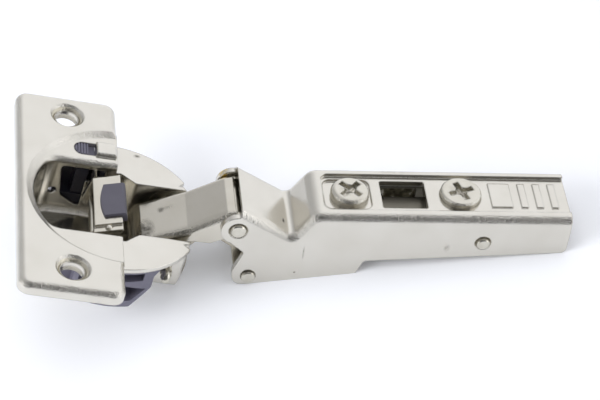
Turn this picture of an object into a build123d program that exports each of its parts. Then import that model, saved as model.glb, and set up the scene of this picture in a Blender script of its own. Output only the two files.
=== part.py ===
"""Concealed cup hinge for a cabinet door, with a soft-close damper in the cup.

Frame: X runs along the arm from the cup to the arm's rear end, Y along the hinge pins,
Z up out of the arm's top. The origin is the centre of the 35 mm boss on the flange's top plane.
The cup is modelled flat (u, v, w along X, Y, Z) and then turned to the door's resting angle.
"""
import os
from math import cos, radians, sin

from build123d import *

# Bore in the door that the cup fills
BOSS_D = 35.0

# Linkage: pivots in the arm's side view (X, Z) and in the cup's own side view (u, w)
CUP_TILT = 9.5
ARM_PIVOT_OUTER = (24.1, -2.45)
ARM_PIVOT_INNER = (27.2, -14.9)
CUP_PIVOT_OUTER = (6.5, -11.65)
CUP_PIVOT_INNER = (BOSS_D / 2 - 5.75, -9.4)
OUTER_PIN_R = 1.6
INNER_PIN_R = 1.5
CUP_PIN_OUTER_R = 1.5
CUP_PIN_INNER_R = 1.25
RUNNING_FIT = 0.05
FIXED_FIT = 0.02
SIDE_GAP = 0.15

# Cup stamping
CUP_SHEET = 1.0
FLANGE_LENGTH = 57.2
FLANGE_INNER_U = -20.1
FLANGE_OUTER_U = 0.95
FLANGE_HEIGHT = 2.9
FLANGE_CORNER_R = 2.5
FLANGE_EDGE_R = 1.7
SCREW_SPAN = 45.0
SCREW_U = -9.5
SCREW_HOLE_D = 4.8
SCREW_RIM_D = 7.2
STEP_R = BOSS_D / 2 + 1.9
STEP_U = 0.97
STEP_DROP = 1.0
STEP_SLOPE = 1.3
POT_CORNER_R = 4.6
POT_MOUTH_R = 1.4
POT_HALF_WIDTH = 10.0
POT_NECK_HALF_WIDTH = 7.6
POT_NECK_START_U = 2.4
POT_NECK_END_U = 5.4
POT_FLOOR_W = -15.0
POT_FLOOR_R = 1.6
POT_MOUTH_W = -12.0
NECK_TAPER_U = 8.6
NECK_TIP_W = -11.2
EAR_R = BOSS_D / 2 + 0.7
EAR_DROP = 3.0
EAR_TIP_U = BOSS_D / 2 - 4.5
EAR_TIP_RISE = 2.6

# Soft-close mechanism in the cup
ROCKER_PIVOT = (-3.2, -8.2)
ROCKER_PIN_R = 0.9
ROCKER_SHEET = 1.0
ROCKER_HALF_LENGTH = 8.0
ROCKER_LOW_EDGE = (-4.1, -3.0)
ROCKER_HIGH_EDGE = (1.2, -1.2)
ROCKER_FOLD_R = 0.8
ROCKER_KNOB_R = 0.7
ROCKER_SHELF = 1.5
ROCKER_SHELF_DROP = 0.5
PAD_HALF_LENGTH = 4.5
PAD_START = 1.3
PAD_ARCH_R = 16.0
PLATE_NOTCH_R = 0.55
PAD_THICKNESS = 0.6
PAD_WRAP = 0.9
PAD_LIP = 0.6
DRIVE_PIN_RISE = 3.3
DRIVE_PIN_R = 0.7
DRIVE_PLAY = 0.45
WINDOW_U = (-9.2, -4.8)
WINDOW_W = (-11.0, -3.0)
WINDOW_SLANT = 2.2
WINDOW_LEAN = 1.2
WINDOW_CORNER_R = 0.8
PEEP_HOLE = (-11.0, -10.0)
PEEP_HOLE_R = 0.9
DRIVE_SLOT_U = (-4.8, -1.2)
DRIVE_SLOT_W = (-6.4, -3.0)
HOUSING_GAP = 0.12
HOUSING_TOP_W = -4.1
HOUSING_BOTTOM_W = -14.2
HOUSING_U = (-11.0, 9.0)
HOUSING_HORN_U = 10.2
HOUSING_WAIST_W = (-6.6, -9.6)
HOUSING_WAIST_U = 8.4
HOUSING_HEEL_U = 4.8
HOUSING_RIB = 1.1
HOUSING_POCKET = 2.2
DAMPER_V = 13.3
DAMPER_W = -7.0
DAMPER_R = 2.2
DAMPER_U = (0.4, 7.4)
ROD_R = 0.7
SLIDER_U = (-7.0, -0.9)
SLIDER_V = (11.3, 13.9)
SLIDER_TRAVEL = 3.6
SLIDER_BACK_TRAVEL = 1.1
SWITCH_WINDOW_U = (-8.1, -3.6)
SWITCH_WINDOW_V = (12.1, 15.8)
SWITCH_LENGTH = 2.7
SWITCH_TRAVEL = 1.5
SWITCH_RIB = 0.3
BRIDGE_RISE = 0.9

# Outer and inner links
LINK_HALF_WIDTH = 6.2
LINK_SHEET = 1.2
LINK_EDGE_R = 1.7
OUTER_WEB_END = (23.75, 0.85)
OUTER_WEB_LIP = (21.9, 0.52)
OUTER_WEB_RIDGE = (14.2, -3.7)
OUTER_WEB_TIP = (5.1, -7.0)
OUTER_LOBE_R = 2.9
OUTER_TAIL_R = 2.7
INNER_HALF_WIDTH = LINK_HALF_WIDTH - LINK_SHEET - 2 * SIDE_GAP
INNER_EYE_R = 2.25
INNER_PIN_WAIST_R = 1.15
OPEN_PIVOT_PLAY = (1.6, 0.62)
OPEN_PIVOT_OFFSET = (0.69, 0.34)
OPEN_PIVOT_TILT = -25.0
OPEN_PIVOT_CLEARANCE = 0.12
INNER_EYE_WALL = 0.85

# Arm stamping
ARM_SHEET = 1.3
ARM_WIDTH = 2 * (LINK_HALF_WIDTH + SIDE_GAP + ARM_SHEET)
ARM_EDGE_R = 2.1
ARM_TOP_Z = 1.9
ARM_REAR_X = 92.4
ARM_BOTTOM_Z = -17.2
SLOPE_FRONT = (24.6, 2.48)
VALLEY = (35.34, -4.34)
NOTCH_APEX = (25.8, -8.4)
NOSE_BOTTOM_X = 30.0
STEP_LOW = (49.0, -14.45)
STEP_HIGH = (50.6, -10.3)
REAR_BOTTOM_Z = -7.3
REAR_LIP_Z = -2.2
NOSE_CORNER_R = 2.0
REAR_CORNER_R = 1.4
STEP_CORNER_R = 0.8
RISE_TOP_X = 39.3
RISE_TOP_R = 3.2
OUTER_EAR_R = 3.5
CHANNEL_DEPTH = 0.7
CHANNEL_HALF_WIDTH = 5.3
CHANNEL_FRONT_X = 41.4
CHANNEL_CORNER_R = 1.6
SCREW_POCKET_DEPTH = 0.5
SCREW_POCKET_GAP = 0.35
SIDE_SCREW_X = 47.1
CAM_SCREW_X = 70.07
ARM_WINDOW_X = (53.6, 62.9)
ARM_WINDOW_HALF_WIDTH = 4.0
PAD_X = (76.2, 80.6)
RIB_X = (82.4, 85.6, 88.75)
RIB_LENGTH = 1.45
RAISED_HALF_WIDTH = 3.5
RAISED_HEIGHT = 0.3
PIN_HEAD_RISE = 0.35
INNER_PIN_RISE = -0.4
RIVET_RISE = 0.6
PIN_CHAMFER = 0.25
PIN_SEAT = 0.45

# Adjusting screws, carrier and latch
SIDE_HEAD_R = 4.0
SIDE_HEAD_HEIGHT = 1.9
SIDE_SHANK_R = 2.5
SIDE_SHANK_LENGTH = 8.0
CAM_HEAD_R = 4.2
CAM_ECCENTRIC = 1.8
CAM_PIN_R = 1.5
CAM_PIN_LENGTH = 2.5
CAM_PLAY = 0.2
CAM_HEAD_RISE = 1.3
CROSS_WIDTH = 1.3
CROSS_SPAN = 5.4
CROSS_DEPTH = 1.2
SIDE_CROSS_TURN = 45.0
CAM_CROSS_TURN = 20.0
CARRIER_X = (43.2, 88.0)
CARRIER_SHEET = 1.3
CARRIER_HALF_WIDTH = 6.15
CARRIER_WALL_X = (62.0, 88.0)
CARRIER_BOTTOM_Z = -6.9
CARRIER_TRAVEL = 1.56
CARRIER_GAP = 0.1
TONGUE_DROP = 1.7
TONGUE_FAR_Y = 2.75
TONGUE_TAB = 1.3
LATCH_PIVOT = (74.62, -4.94)
LATCH_RIVET_R = 1.35
LATCH_HALF_WIDTH = 4.4
LATCH_HUB_R = 2.5
SPRING_SHEET = 0.6
SPRING_BEND_R = 3.2
SPRING_LEG = 2.44


def side_face(points):
    """A flat outline in the side view, from its corner points."""
    return make_face(Polyline(*points, close=True))


def across(outline, half_width):
    """Extrude a side-view outline to the same distance on both sides of the middle plane."""
    return extrude(Plane.XZ * outline, amount=half_width, both=True)


def plate_at(outline, y_inner, y_outer):
    """Extrude a side-view outline between two places across the hinge."""
    middle = (y_inner + y_outer) / 2
    return extrude(Pos(0, middle, 0) * (Plane.XZ * outline), amount=abs(y_outer - y_inner) / 2, both=True)


def cross_rod(place, radius, y_from, y_to):
    """A round rod along the hinge axis at a place in the side view."""
    turned = Rot(90, 0, 0) * Cylinder(radius, y_to - y_from)
    return Pos(place[0], (y_from + y_to) / 2, place[1]) * turned


def block(x, y, z):
    """A box between two limits on each axis."""
    size = Box(x[1] - x[0], y[1] - y[0], z[1] - z[0])
    return Pos((x[0] + x[1]) / 2, (y[0] + y[1]) / 2, (z[0] + z[1]) / 2) * size


def on_cup(shape):
    """Turn a shape from the cup's own frame to the door's resting angle."""
    return Rot(0, CUP_TILT, 0) * shape


def cup_to_arm(place):
    """A side-view place in the cup's frame, given in the arm's frame."""
    turn = radians(CUP_TILT)
    return (place[0] * cos(turn) + place[1] * sin(turn), place[1] * cos(turn) - place[0] * sin(turn))


CUP_OUTER_IN_ARM = cup_to_arm(CUP_PIVOT_OUTER)
CUP_INNER_IN_ARM = cup_to_arm(CUP_PIVOT_INNER)
POT_OUTER_HALF = POT_HALF_WIDTH + CUP_SHEET
POT_NECK_OUTER = POT_NECK_HALF_WIDTH + CUP_SHEET
BOSS_R = BOSS_D / 2 - 0.1
POT_BOTTOM_W = POT_FLOOR_W - CUP_SHEET
SHEET_TOP_W = -STEP_DROP


def pot_plan():
    """The pot's outer outline from above: the bore's arc, round corners and a neck between the ears."""
    wide = Pos(POT_NECK_START_U - BOSS_D / 2, 0) * Rectangle(BOSS_D, 2 * POT_OUTER_HALF)
    wide = wide & Circle(BOSS_R)
    wide = fillet(wide.vertices().sort_by(Axis.X)[:2], POT_CORNER_R)
    neck = make_face(
        Polyline(
            (POT_NECK_START_U, POT_OUTER_HALF),
            (POT_NECK_END_U, POT_NECK_OUTER),
            (BOSS_D, POT_NECK_OUTER),
            (BOSS_D, -POT_NECK_OUTER),
            (POT_NECK_END_U, -POT_NECK_OUTER),
            (POT_NECK_START_U, -POT_OUTER_HALF),
            close=True,
        )
    )
    return wide + (neck & Circle(BOSS_R))


def make_cup():
    """One deep-drawn stamping: flange tray, lowered ring, pot and two crescent ears."""
    u_mid = (FLANGE_INNER_U + FLANGE_OUTER_U) / 2
    u_size = FLANGE_OUTER_U - FLANGE_INNER_U
    tray = Pos(u_mid, 0, -FLANGE_HEIGHT / 2) * Box(u_size, FLANGE_LENGTH, FLANGE_HEIGHT)
    tray = fillet(tray.edges().filter_by(Axis.Z), FLANGE_CORNER_R)
    tray = fillet(tray.faces().sort_by(Axis.Z)[-1].edges(), FLANGE_EDGE_R)
    hollow_depth = FLANGE_HEIGHT - CUP_SHEET
    hollow = Box(u_size - 2 * CUP_SHEET, FLANGE_LENGTH - 2 * CUP_SHEET, hollow_depth)
    hollow = Pos(u_mid, 0, -FLANGE_HEIGHT + hollow_depth / 2) * hollow
    hollow = fillet(hollow.edges().filter_by(Axis.Z), FLANGE_CORNER_R - CUP_SHEET)
    tray_u = (FLANGE_INNER_U, FLANGE_OUTER_U)
    tray_block = block(tray_u, (-FLANGE_LENGTH, FLANGE_LENGTH), (-FLANGE_HEIGHT, 0))
    dished = Pos(STEP_U, 0, SHEET_TOP_W - CUP_SHEET / 2) * Cylinder(STEP_R, CUP_SHEET)
    dish = Pos(STEP_U, 0, SHEET_TOP_W / 2) * Cone(STEP_R - STEP_SLOPE, STEP_R, STEP_DROP)
    flange = tray - hollow - dish + (dished & tray_block)

    plan = pot_plan()
    pot = Pos(0, 0, POT_BOTTOM_W) * extrude(plan, amount=SHEET_TOP_W - POT_BOTTOM_W)
    pot = fillet(pot.faces().sort_by(Axis.Z)[0].edges(), POT_FLOOR_R + CUP_SHEET)
    above_ears = block((FLANGE_OUTER_U, BOSS_D), (-BOSS_D, BOSS_D), (-EAR_DROP, FLANGE_HEIGHT))
    ear_limits = make_face(
        Polyline(
            (FLANGE_OUTER_U - CUP_SHEET, POT_NECK_HALF_WIDTH),
            (EAR_TIP_U, POT_NECK_HALF_WIDTH),
            (EAR_TIP_U + EAR_TIP_RISE, POT_NECK_HALF_WIDTH + EAR_TIP_RISE),
            (EAR_R, EAR_R),
            (FLANGE_OUTER_U - CUP_SHEET, EAR_R),
            close=True,
        )
    )
    ear_plan = ear_limits & Circle(EAR_R)
    ears = Pos(0, 0, -EAR_DROP - CUP_SHEET) * extrude(ear_plan, amount=CUP_SHEET)
    ears = ears + mirror(ears, about=Plane.XZ)
    body = flange + (pot - above_ears) + ears

    cavity_plan = offset(plan, -CUP_SHEET)
    cavity = Pos(0, 0, POT_FLOOR_W) * extrude(cavity_plan, amount=-POT_FLOOR_W + CUP_SHEET)
    cavity = fillet(cavity.faces().sort_by(Axis.Z)[0].edges(), POT_FLOOR_R)
    neck_v = (-POT_NECK_HALF_WIDTH, POT_NECK_HALF_WIDTH)
    mouth = block((EAR_TIP_U, BOSS_D), neck_v, (POT_MOUTH_W, CUP_SHEET))
    taper = side_face(
        [(NECK_TAPER_U, POT_BOTTOM_W), (BOSS_D, NECK_TIP_W), (BOSS_D, -BOSS_D), (NECK_TAPER_U, -BOSS_D)]
    )
    body = body - cavity - mouth - across(taper, BOSS_D)
    rim = body.edges().filter_by(
        lambda e: abs(e.center().Z - SHEET_TOP_W) < 0.01 and e.center().X < FLANGE_OUTER_U - CUP_SHEET / 2
        and (e.center().X ** 2 + e.center().Y ** 2) ** 0.5 < BOSS_R - CUP_SHEET / 2
    )
    body = fillet(rim, POT_MOUTH_R)

    for side in (-1, 1):
        place = Pos(SCREW_U, side * SCREW_SPAN / 2, 0)
        dimple_r = SCREW_RIM_D / 2
        dimple = Cone(SCREW_HOLE_D / 2 + 0.2, dimple_r, CUP_SHEET)
        lip = Pos(0, 0, -1.5 * CUP_SHEET) * Cylinder(SCREW_HOLE_D / 2 + CUP_SHEET, CUP_SHEET)
        body = body + place * lip
        body = body - place * Pos(0, 0, -CUP_SHEET / 2) * dimple
        body = body - place * Cylinder(SCREW_HOLE_D / 2, 3 * FLANGE_HEIGHT)

    wall = (POT_NECK_HALF_WIDTH - CUP_SHEET, POT_OUTER_HALF + CUP_SHEET)
    window = side_face(
        [
            (WINDOW_U[0] - WINDOW_LEAN, WINDOW_W[1]),
            (WINDOW_U[1], WINDOW_W[1]),
            (WINDOW_U[1], WINDOW_W[0] - WINDOW_SLANT),
            (WINDOW_U[1] - 1, WINDOW_W[0] - WINDOW_SLANT),
            (WINDOW_U[0], WINDOW_W[0]),
        ]
    )
    window = fillet(window.vertices().sort_by(Axis.X)[:2], WINDOW_CORNER_R)
    body = body - plate_at(window, *wall)
    body = body - cross_rod(PEEP_HOLE, PEEP_HOLE_R, POT_NECK_HALF_WIDTH - CUP_SHEET, BOSS_D)
    body = body - block(DRIVE_SLOT_U, wall, DRIVE_SLOT_W)
    corner = SWITCH_WINDOW_V[1] - SWITCH_WINDOW_V[0]
    window = block(SWITCH_WINDOW_U, SWITCH_WINDOW_V, (-FLANGE_HEIGHT, FLANGE_HEIGHT))
    body = body - fillet(window.edges().filter_by(Axis.Z).sort_by(Axis.X)[:2], corner * 0.45)
    bridge_u = (SWITCH_WINDOW_U[1], FLANGE_OUTER_U - 0.3)
    bridge = block(bridge_u, SWITCH_WINDOW_V, (SHEET_TOP_W - 0.2, BRIDGE_RISE - STEP_DROP))
    body = body + fillet(bridge.faces().sort_by(Axis.Z)[-1].edges(), BRIDGE_RISE * 0.6)
    for pivot, radius in (
        (CUP_PIVOT_OUTER, CUP_PIN_OUTER_R),
        (CUP_PIVOT_INNER, CUP_PIN_INNER_R),
        (ROCKER_PIVOT, ROCKER_PIN_R),
    ):
        body = body - cross_rod(pivot, radius + FIXED_FIT, -BOSS_D, BOSS_D)
    return body


def make_cup_pins():
    """The two link pins, riveted through the neck's walls, and the rocker's pin."""
    outer_end = POT_NECK_OUTER + 1.2
    inner_end = (BOSS_R**2 - (CUP_PIVOT_INNER[0] + CUP_PIN_INNER_R) ** 2) ** 0.5
    outer = cross_rod(CUP_PIVOT_OUTER, CUP_PIN_OUTER_R, -outer_end, outer_end)
    inner = cross_rod(CUP_PIVOT_INNER, CUP_PIN_INNER_R, -inner_end, inner_end)
    inner = fillet(inner.edges().filter_by(GeomType.CIRCLE), CUP_PIN_INNER_R * 0.5)
    rocker = cross_rod(ROCKER_PIVOT, ROCKER_PIN_R, -POT_OUTER_HALF, POT_OUTER_HALF)
    return outer, inner, rocker


def housing_plan(side, u_end):
    """The segment between the pot's wall and the bored hole in the door, on one side of the pot."""
    segment = make_face(
        Polyline(
            (HOUSING_U[0], side * POT_NECK_OUTER),
            (u_end, side * POT_NECK_OUTER),
            (u_end, side * BOSS_D),
            (HOUSING_U[0], side * BOSS_D),
            close=True,
        )
    )
    return (segment & Circle(BOSS_R)) - offset(pot_plan(), HOUSING_GAP)


def make_housings():
    """Damper housing on the near side, with ribbed pockets, and the switch housing on the far side."""
    height = HOUSING_TOP_W - HOUSING_BOTTOM_W
    near = Pos(0, 0, HOUSING_BOTTOM_W) * extrude(housing_plan(-1, HOUSING_HORN_U), amount=height)
    side = side_face(
        [
            (HOUSING_U[0], HOUSING_TOP_W),
            (HOUSING_HORN_U, HOUSING_TOP_W),
            (HOUSING_WAIST_U, HOUSING_WAIST_W[0]),
            (HOUSING_WAIST_U, HOUSING_WAIST_W[1]),
            (HOUSING_HEEL_U, HOUSING_BOTTOM_W),
            (HOUSING_U[0], HOUSING_BOTTOM_W),
        ]
    )
    near = near & across(side, BOSS_D)
    pocket_v = (-BOSS_D, -POT_OUTER_HALF - HOUSING_POCKET)
    pocket_w = (HOUSING_BOTTOM_W + 1.5 * HOUSING_RIB, HOUSING_TOP_W - HOUSING_RIB)
    pitch = (HOUSING_U[1] - HOUSING_U[0]) / 5
    for step in range(3):
        left = HOUSING_U[0] + step * pitch + HOUSING_RIB / 2
        near = near - block((left, left + pitch - HOUSING_RIB), pocket_v, pocket_w)
    left = HOUSING_U[0] + 3 * pitch + HOUSING_RIB
    slot_low = HOUSING_WAIST_W[0] - HOUSING_RIB / 2
    near = near - block((left, HOUSING_WAIST_U - 2 * HOUSING_RIB), pocket_v, (slot_low, pocket_w[1]))
    below_rib = side_face(
        [
            (left, slot_low - HOUSING_RIB),
            (HOUSING_WAIST_U - HOUSING_RIB, HOUSING_WAIST_W[1]),
            (HOUSING_HEEL_U, pocket_w[0]),
            (left, pocket_w[0]),
        ]
    )
    near = near - plate_at(below_rib, *pocket_v)
    near = near - cross_rod(CUP_PIVOT_OUTER, CUP_PIN_OUTER_R + HOUSING_GAP, -POT_NECK_OUTER - 1.4, 0)

    far = Pos(0, 0, HOUSING_BOTTOM_W) * extrude(housing_plan(1, HOUSING_U[1]), amount=height)
    far = far - cross_rod(CUP_PIVOT_OUTER, CUP_PIN_OUTER_R + HOUSING_GAP, 0, POT_NECK_OUTER + 1.4)
    slot_u = (SLIDER_U[0] - SLIDER_TRAVEL - HOUSING_GAP, DAMPER_U[0])
    slot_v = (POT_OUTER_HALF - CUP_SHEET, SLIDER_V[1] + HOUSING_GAP)
    slot_w = (WINDOW_W[0] - HOUSING_GAP, HOUSING_TOP_W + CUP_SHEET)
    far = far - block(slot_u, slot_v, slot_w)
    bore = Rot(0, 90, 0) * Cylinder(DAMPER_R + FIXED_FIT, DAMPER_U[1] - DAMPER_U[0])
    far = far - Pos((DAMPER_U[0] + DAMPER_U[1]) / 2, DAMPER_V, DAMPER_W) * bore
    trough_v = (DAMPER_V - DAMPER_R, DAMPER_V + DAMPER_R)
    far = far - block(DAMPER_U, trough_v, (DAMPER_W, HOUSING_TOP_W + CUP_SHEET))
    return near, far


def make_damper():
    """The oil cylinder, and the slider whose fork takes the rocker's drive pin, with its piston rod."""
    middle = (DAMPER_U[0] + DAMPER_U[1]) / 2
    cylinder = Rot(0, 90, 0) * Cylinder(DAMPER_R, DAMPER_U[1] - DAMPER_U[0])
    cylinder = Pos(middle, DAMPER_V, DAMPER_W) * cylinder
    cylinder = fillet(cylinder.edges().filter_by(GeomType.CIRCLE), 0.4)
    rod_tip = DAMPER_U[1] - 1.0
    rod_bore = Rot(0, 90, 0) * Cylinder(ROD_R + RUNNING_FIT, rod_tip - DAMPER_U[0] + 2)
    cylinder = cylinder - Pos((rod_tip + DAMPER_U[0] - 2) / 2, DAMPER_V, DAMPER_W) * rod_bore

    body = block(SLIDER_U, SLIDER_V, (WINDOW_W[0] + HOUSING_GAP, DRIVE_SLOT_W[1] - 1.4))
    fork_half = DRIVE_PIN_R + DRIVE_PLAY
    fork = block((ROCKER_PIVOT[0] - fork_half, ROCKER_PIVOT[0] + fork_half), (0, BOSS_D), (-7.8, 0))
    rod_start = SLIDER_U[1] - 0.6
    rod_end = rod_tip - SLIDER_BACK_TRAVEL - 0.3
    rod = Rot(0, 90, 0) * Cylinder(ROD_R, rod_end - rod_start)
    slider = body - fork + Pos((rod_start + rod_end) / 2, DAMPER_V, DAMPER_W) * rod
    return cylinder, slider


def make_rocker():
    """The rocker: a cross plate on two side arms that turn on the rocker pin, and its moulded pad."""
    slope_u = ROCKER_HIGH_EDGE[0] - ROCKER_LOW_EDGE[0]
    slope_w = ROCKER_HIGH_EDGE[1] - ROCKER_LOW_EDGE[1]
    length = (slope_u**2 + slope_w**2) ** 0.5
    along = (slope_u / length, slope_w / length)
    down = (along[1], -along[0])

    def at(reach, depth):
        """A place on the plate: reach along it from the low edge, depth below its top face."""
        return (
            ROCKER_LOW_EDGE[0] + along[0] * reach + down[0] * depth,
            ROCKER_LOW_EDGE[1] + along[1] * reach + down[1] * depth,
        )

    slab = side_face([at(0, 0), at(length, 0), at(length, ROCKER_SHEET), at(0, ROCKER_SHEET)])
    plate = across(slab, ROCKER_HALF_LENGTH)
    hub_r = ROCKER_PIN_R + ROCKER_SHEET
    arm_outline = side_face(
        [
            at(0, 0.1),
            at(length, 0.1),
            at(length, ROCKER_SHEET),
            (ROCKER_PIVOT[0] + hub_r, ROCKER_PIVOT[1]),
            (ROCKER_PIVOT[0] - hub_r, ROCKER_PIVOT[1]),
        ]
    )
    arm_outline = arm_outline + Pos(*ROCKER_PIVOT) * Circle(hub_r)
    inner = ROCKER_HALF_LENGTH - ROCKER_SHEET
    rocker = plate + plate_at(arm_outline, inner, ROCKER_HALF_LENGTH)
    rocker = rocker + plate_at(arm_outline, -ROCKER_HALF_LENGTH, -inner)
    rocker = rocker - cross_rod(ROCKER_PIVOT, ROCKER_PIN_R + RUNNING_FIT, -BOSS_D, BOSS_D)
    top = at(length / 2, 0)
    fold = rocker.edges().sort_by_distance((top[0], ROCKER_HALF_LENGTH, top[1]))[:1]
    rocker = fillet(fold, ROCKER_FOLD_R)
    above = side_face(
        [
            at(-length, ROCKER_SHELF_DROP),
            at(2 * length, ROCKER_SHELF_DROP),
            at(2 * length, -length),
            at(-length, -length),
        ]
    )
    rocker = rocker - plate_at(above, -ROCKER_HALF_LENGTH - ROCKER_SHEET, ROCKER_SHELF - ROCKER_HALF_LENGTH)
    knob = at(length / 2, ROCKER_SHELF_DROP)
    rocker = rocker + Pos(knob[0], ROCKER_SHELF / 2 - ROCKER_HALF_LENGTH, knob[1]) * Sphere(ROCKER_KNOB_R)
    drive_place = (ROCKER_PIVOT[0], ROCKER_PIVOT[1] + DRIVE_PIN_RISE)
    rocker = rocker + cross_rod(drive_place, DRIVE_PIN_R, inner, SLIDER_V[1] - 0.6)

    pad_outline = side_face(
        [
            at(PAD_START, 0),
            at(PAD_START, -PAD_THICKNESS),
            at(length + PAD_WRAP, -PAD_THICKNESS),
            at(length + PAD_WRAP, ROCKER_SHEET + PAD_LIP),
            at(length, ROCKER_SHEET + PAD_LIP),
            at(length, 0),
        ]
    )
    for reach, radius in ((PAD_START, PAD_THICKNESS / 2), (length + PAD_WRAP, PAD_THICKNESS)):
        corner = (*at(reach, -PAD_THICKNESS), 0)
        pad_outline = fillet(pad_outline.vertices().sort_by_distance(corner)[:1], radius)
    pad = across(pad_outline, PAD_HALF_LENGTH)
    arch = Pos(at(PAD_START, 0)[0] + PAD_ARCH_R, 0, 0) * Cylinder(PAD_ARCH_R, BOSS_D)
    notch = Pos(at(length / 2, 0)[0], ROCKER_HALF_LENGTH, 0) * Cylinder(PLATE_NOTCH_R, BOSS_D)
    return rocker - notch, pad & arch


def make_switch():
    """The soft-close switch: a ribbed thumb pad on a base that slides under the flange."""
    v = (SWITCH_WINDOW_V[0] + 0.25, SWITCH_WINDOW_V[1] - 0.25)
    u0 = SWITCH_WINDOW_U[0] + 0.2
    thumb = block((u0, u0 + SWITCH_LENGTH), v, (HOUSING_TOP_W + HOUSING_GAP, SHEET_TOP_W + 0.05))
    round_end = (SWITCH_WINDOW_V[1] - SWITCH_WINDOW_V[0]) * 0.42
    thumb = fillet(thumb.edges().filter_by(Axis.Z).sort_by(Axis.X)[:2], round_end)
    base_top = SHEET_TOP_W - CUP_SHEET - HOUSING_GAP
    base_u = (u0 - 0.7, u0 + SWITCH_LENGTH + 1.6)
    base = block(base_u, (v[0] - 0.5, v[1] + 0.5), (HOUSING_TOP_W + HOUSING_GAP, base_top))
    switch = thumb + base
    for step in range(4):
        groove_u = u0 + 0.35 + step * 2 * SWITCH_RIB
        groove = block((groove_u, groove_u + SWITCH_RIB), SWITCH_WINDOW_V, (SHEET_TOP_W - 0.3, 0))
        switch = switch - groove
    return switch


def make_outer_link():
    """U-section stamping: a bent web over two side plates with an eye at each end."""
    web_end, ridge, tip = OUTER_WEB_END, OUTER_WEB_RIDGE, OUTER_WEB_TIP
    tail = CUP_OUTER_IN_ARM
    side = side_face(
        [
            web_end,
            OUTER_WEB_LIP,
            ridge,
            tip,
            (tail[0] - OUTER_TAIL_R, tail[1] + 0.6),
            (tail[0] - OUTER_TAIL_R * 0.6, tail[1] - OUTER_TAIL_R * 0.8),
            (tail[0] + OUTER_TAIL_R, tail[1]),
            (tip[0] + 2.6, tip[1] - 1.6),
            (tip[0] + 4.6, tip[1] + 0.2),
            (ridge[0] - 2.2, ridge[1] - 3.6),
            (ridge[0] + 0.9, ridge[1] - 3.0),
            (ridge[0] + 4.7, ridge[1] - 3.5),
            (ARM_PIVOT_OUTER[0] - 1.4, ARM_PIVOT_OUTER[1] - 3.1),
            (ARM_PIVOT_OUTER[0] + 0.6, ARM_PIVOT_OUTER[1] - OUTER_LOBE_R),
        ]
    )
    side = side + Pos(*ARM_PIVOT_OUTER) * Circle(OUTER_LOBE_R) + Pos(*tail) * Circle(OUTER_TAIL_R)
    link = across(side, LINK_HALF_WIDTH)
    edges = link.edges().filter_by(
        lambda e: abs(abs(e.center().Y) - LINK_HALF_WIDTH) < 0.01
        and (e.length > 2 * OUTER_LOBE_R - LINK_SHEET or e.center().Z > 0)
        and tip[0] < e.center().X < web_end[0]
        and e.center().Z > ridge[1] - 2 * LINK_SHEET
    )
    link = fillet(edges, LINK_EDGE_R)
    inner = LINK_HALF_WIDTH - LINK_SHEET
    under = [
        (web_end[0], web_end[1] - LINK_SHEET * 1.05),
        (OUTER_WEB_LIP[0] + 0.1, OUTER_WEB_LIP[1] - LINK_SHEET * 1.1),
        (ridge[0] + 0.1, ridge[1] - LINK_SHEET * 1.08),
        (tip[0] + 0.1, tip[1] - LINK_SHEET * 1.07),
    ]
    beyond = (tip[0] - BOSS_D, web_end[0] + BOSS_D)
    room = side_face(
        [
            *under,
            (beyond[0], tip[1] - BOSS_D / 2),
            (beyond[0], -BOSS_D),
            (beyond[1], -BOSS_D),
            (beyond[1], under[0][1]),
        ]
    )
    link = link - across(room, inner)
    behind = block((web_end[0] - SIDE_GAP, beyond[1]), (-inner, inner), (-BOSS_D, BOSS_D))
    link = link - behind
    link = link - cross_rod(ARM_PIVOT_OUTER, OUTER_PIN_R + RUNNING_FIT, -ARM_WIDTH, ARM_WIDTH)
    return link - cross_rod(tail, CUP_PIN_OUTER_R + RUNNING_FIT, -ARM_WIDTH, ARM_WIDTH)


def make_inner_link():
    """Gooseneck link inside the outer link: close eye on the cup pin, long eye on the arm pin."""
    eye = CUP_INNER_IN_ARM
    far = ARM_PIVOT_INNER
    neck = side_face(
        [
            (eye[0] - 1.3, eye[1] + 1.7),
            (eye[0] + 4.3, eye[1] + 3.9),
            (eye[0] + 7.6, eye[1] + 6.1),
            (far[0] - 6.2, far[1] + 9.8),
            (far[0] - 2.6, far[1] + 7.6),
            (far[0] + 0.9, far[1] + 3.9),
            (far[0] + 0.4, far[1] - 1.0),
            (far[0] - 2.9, far[1] + 0.6),
            (far[0] - 3.7, far[1] + 5.4),
            (far[0] - 6.8, far[1] + 7.8),
            (eye[0] + 7.0, eye[1] + 4.0),
            (eye[0] + 4.2, eye[1] + 1.0),
            (eye[0] + 1.5, eye[1] - 1.6),
        ]
    )
    hole_half = [play + INNER_PIN_WAIST_R + OPEN_PIVOT_CLEARANCE for play in OPEN_PIVOT_PLAY]
    slot_place = Pos(far[0] + OPEN_PIVOT_OFFSET[0], far[1] + OPEN_PIVOT_OFFSET[1])
    slot_place = slot_place * Rot(0, 0, OPEN_PIVOT_TILT)
    hole = slot_place * SlotOverall(2 * hole_half[0], 2 * hole_half[1])
    wall = slot_place * SlotOverall(*(2 * (reach + INNER_EYE_WALL) for reach in hole_half))
    wall = wall - Pos(far[0], ARM_BOTTOM_Z - BOSS_D / 2) * Rectangle(BOSS_D, BOSS_D)
    outline = neck + Pos(*eye) * Circle(INNER_EYE_R) + wall - hole
    outline = outline - Pos(*eye) * Circle(CUP_PIN_INNER_R + RUNNING_FIT)
    return across(outline, INNER_HALF_WIDTH)


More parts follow.
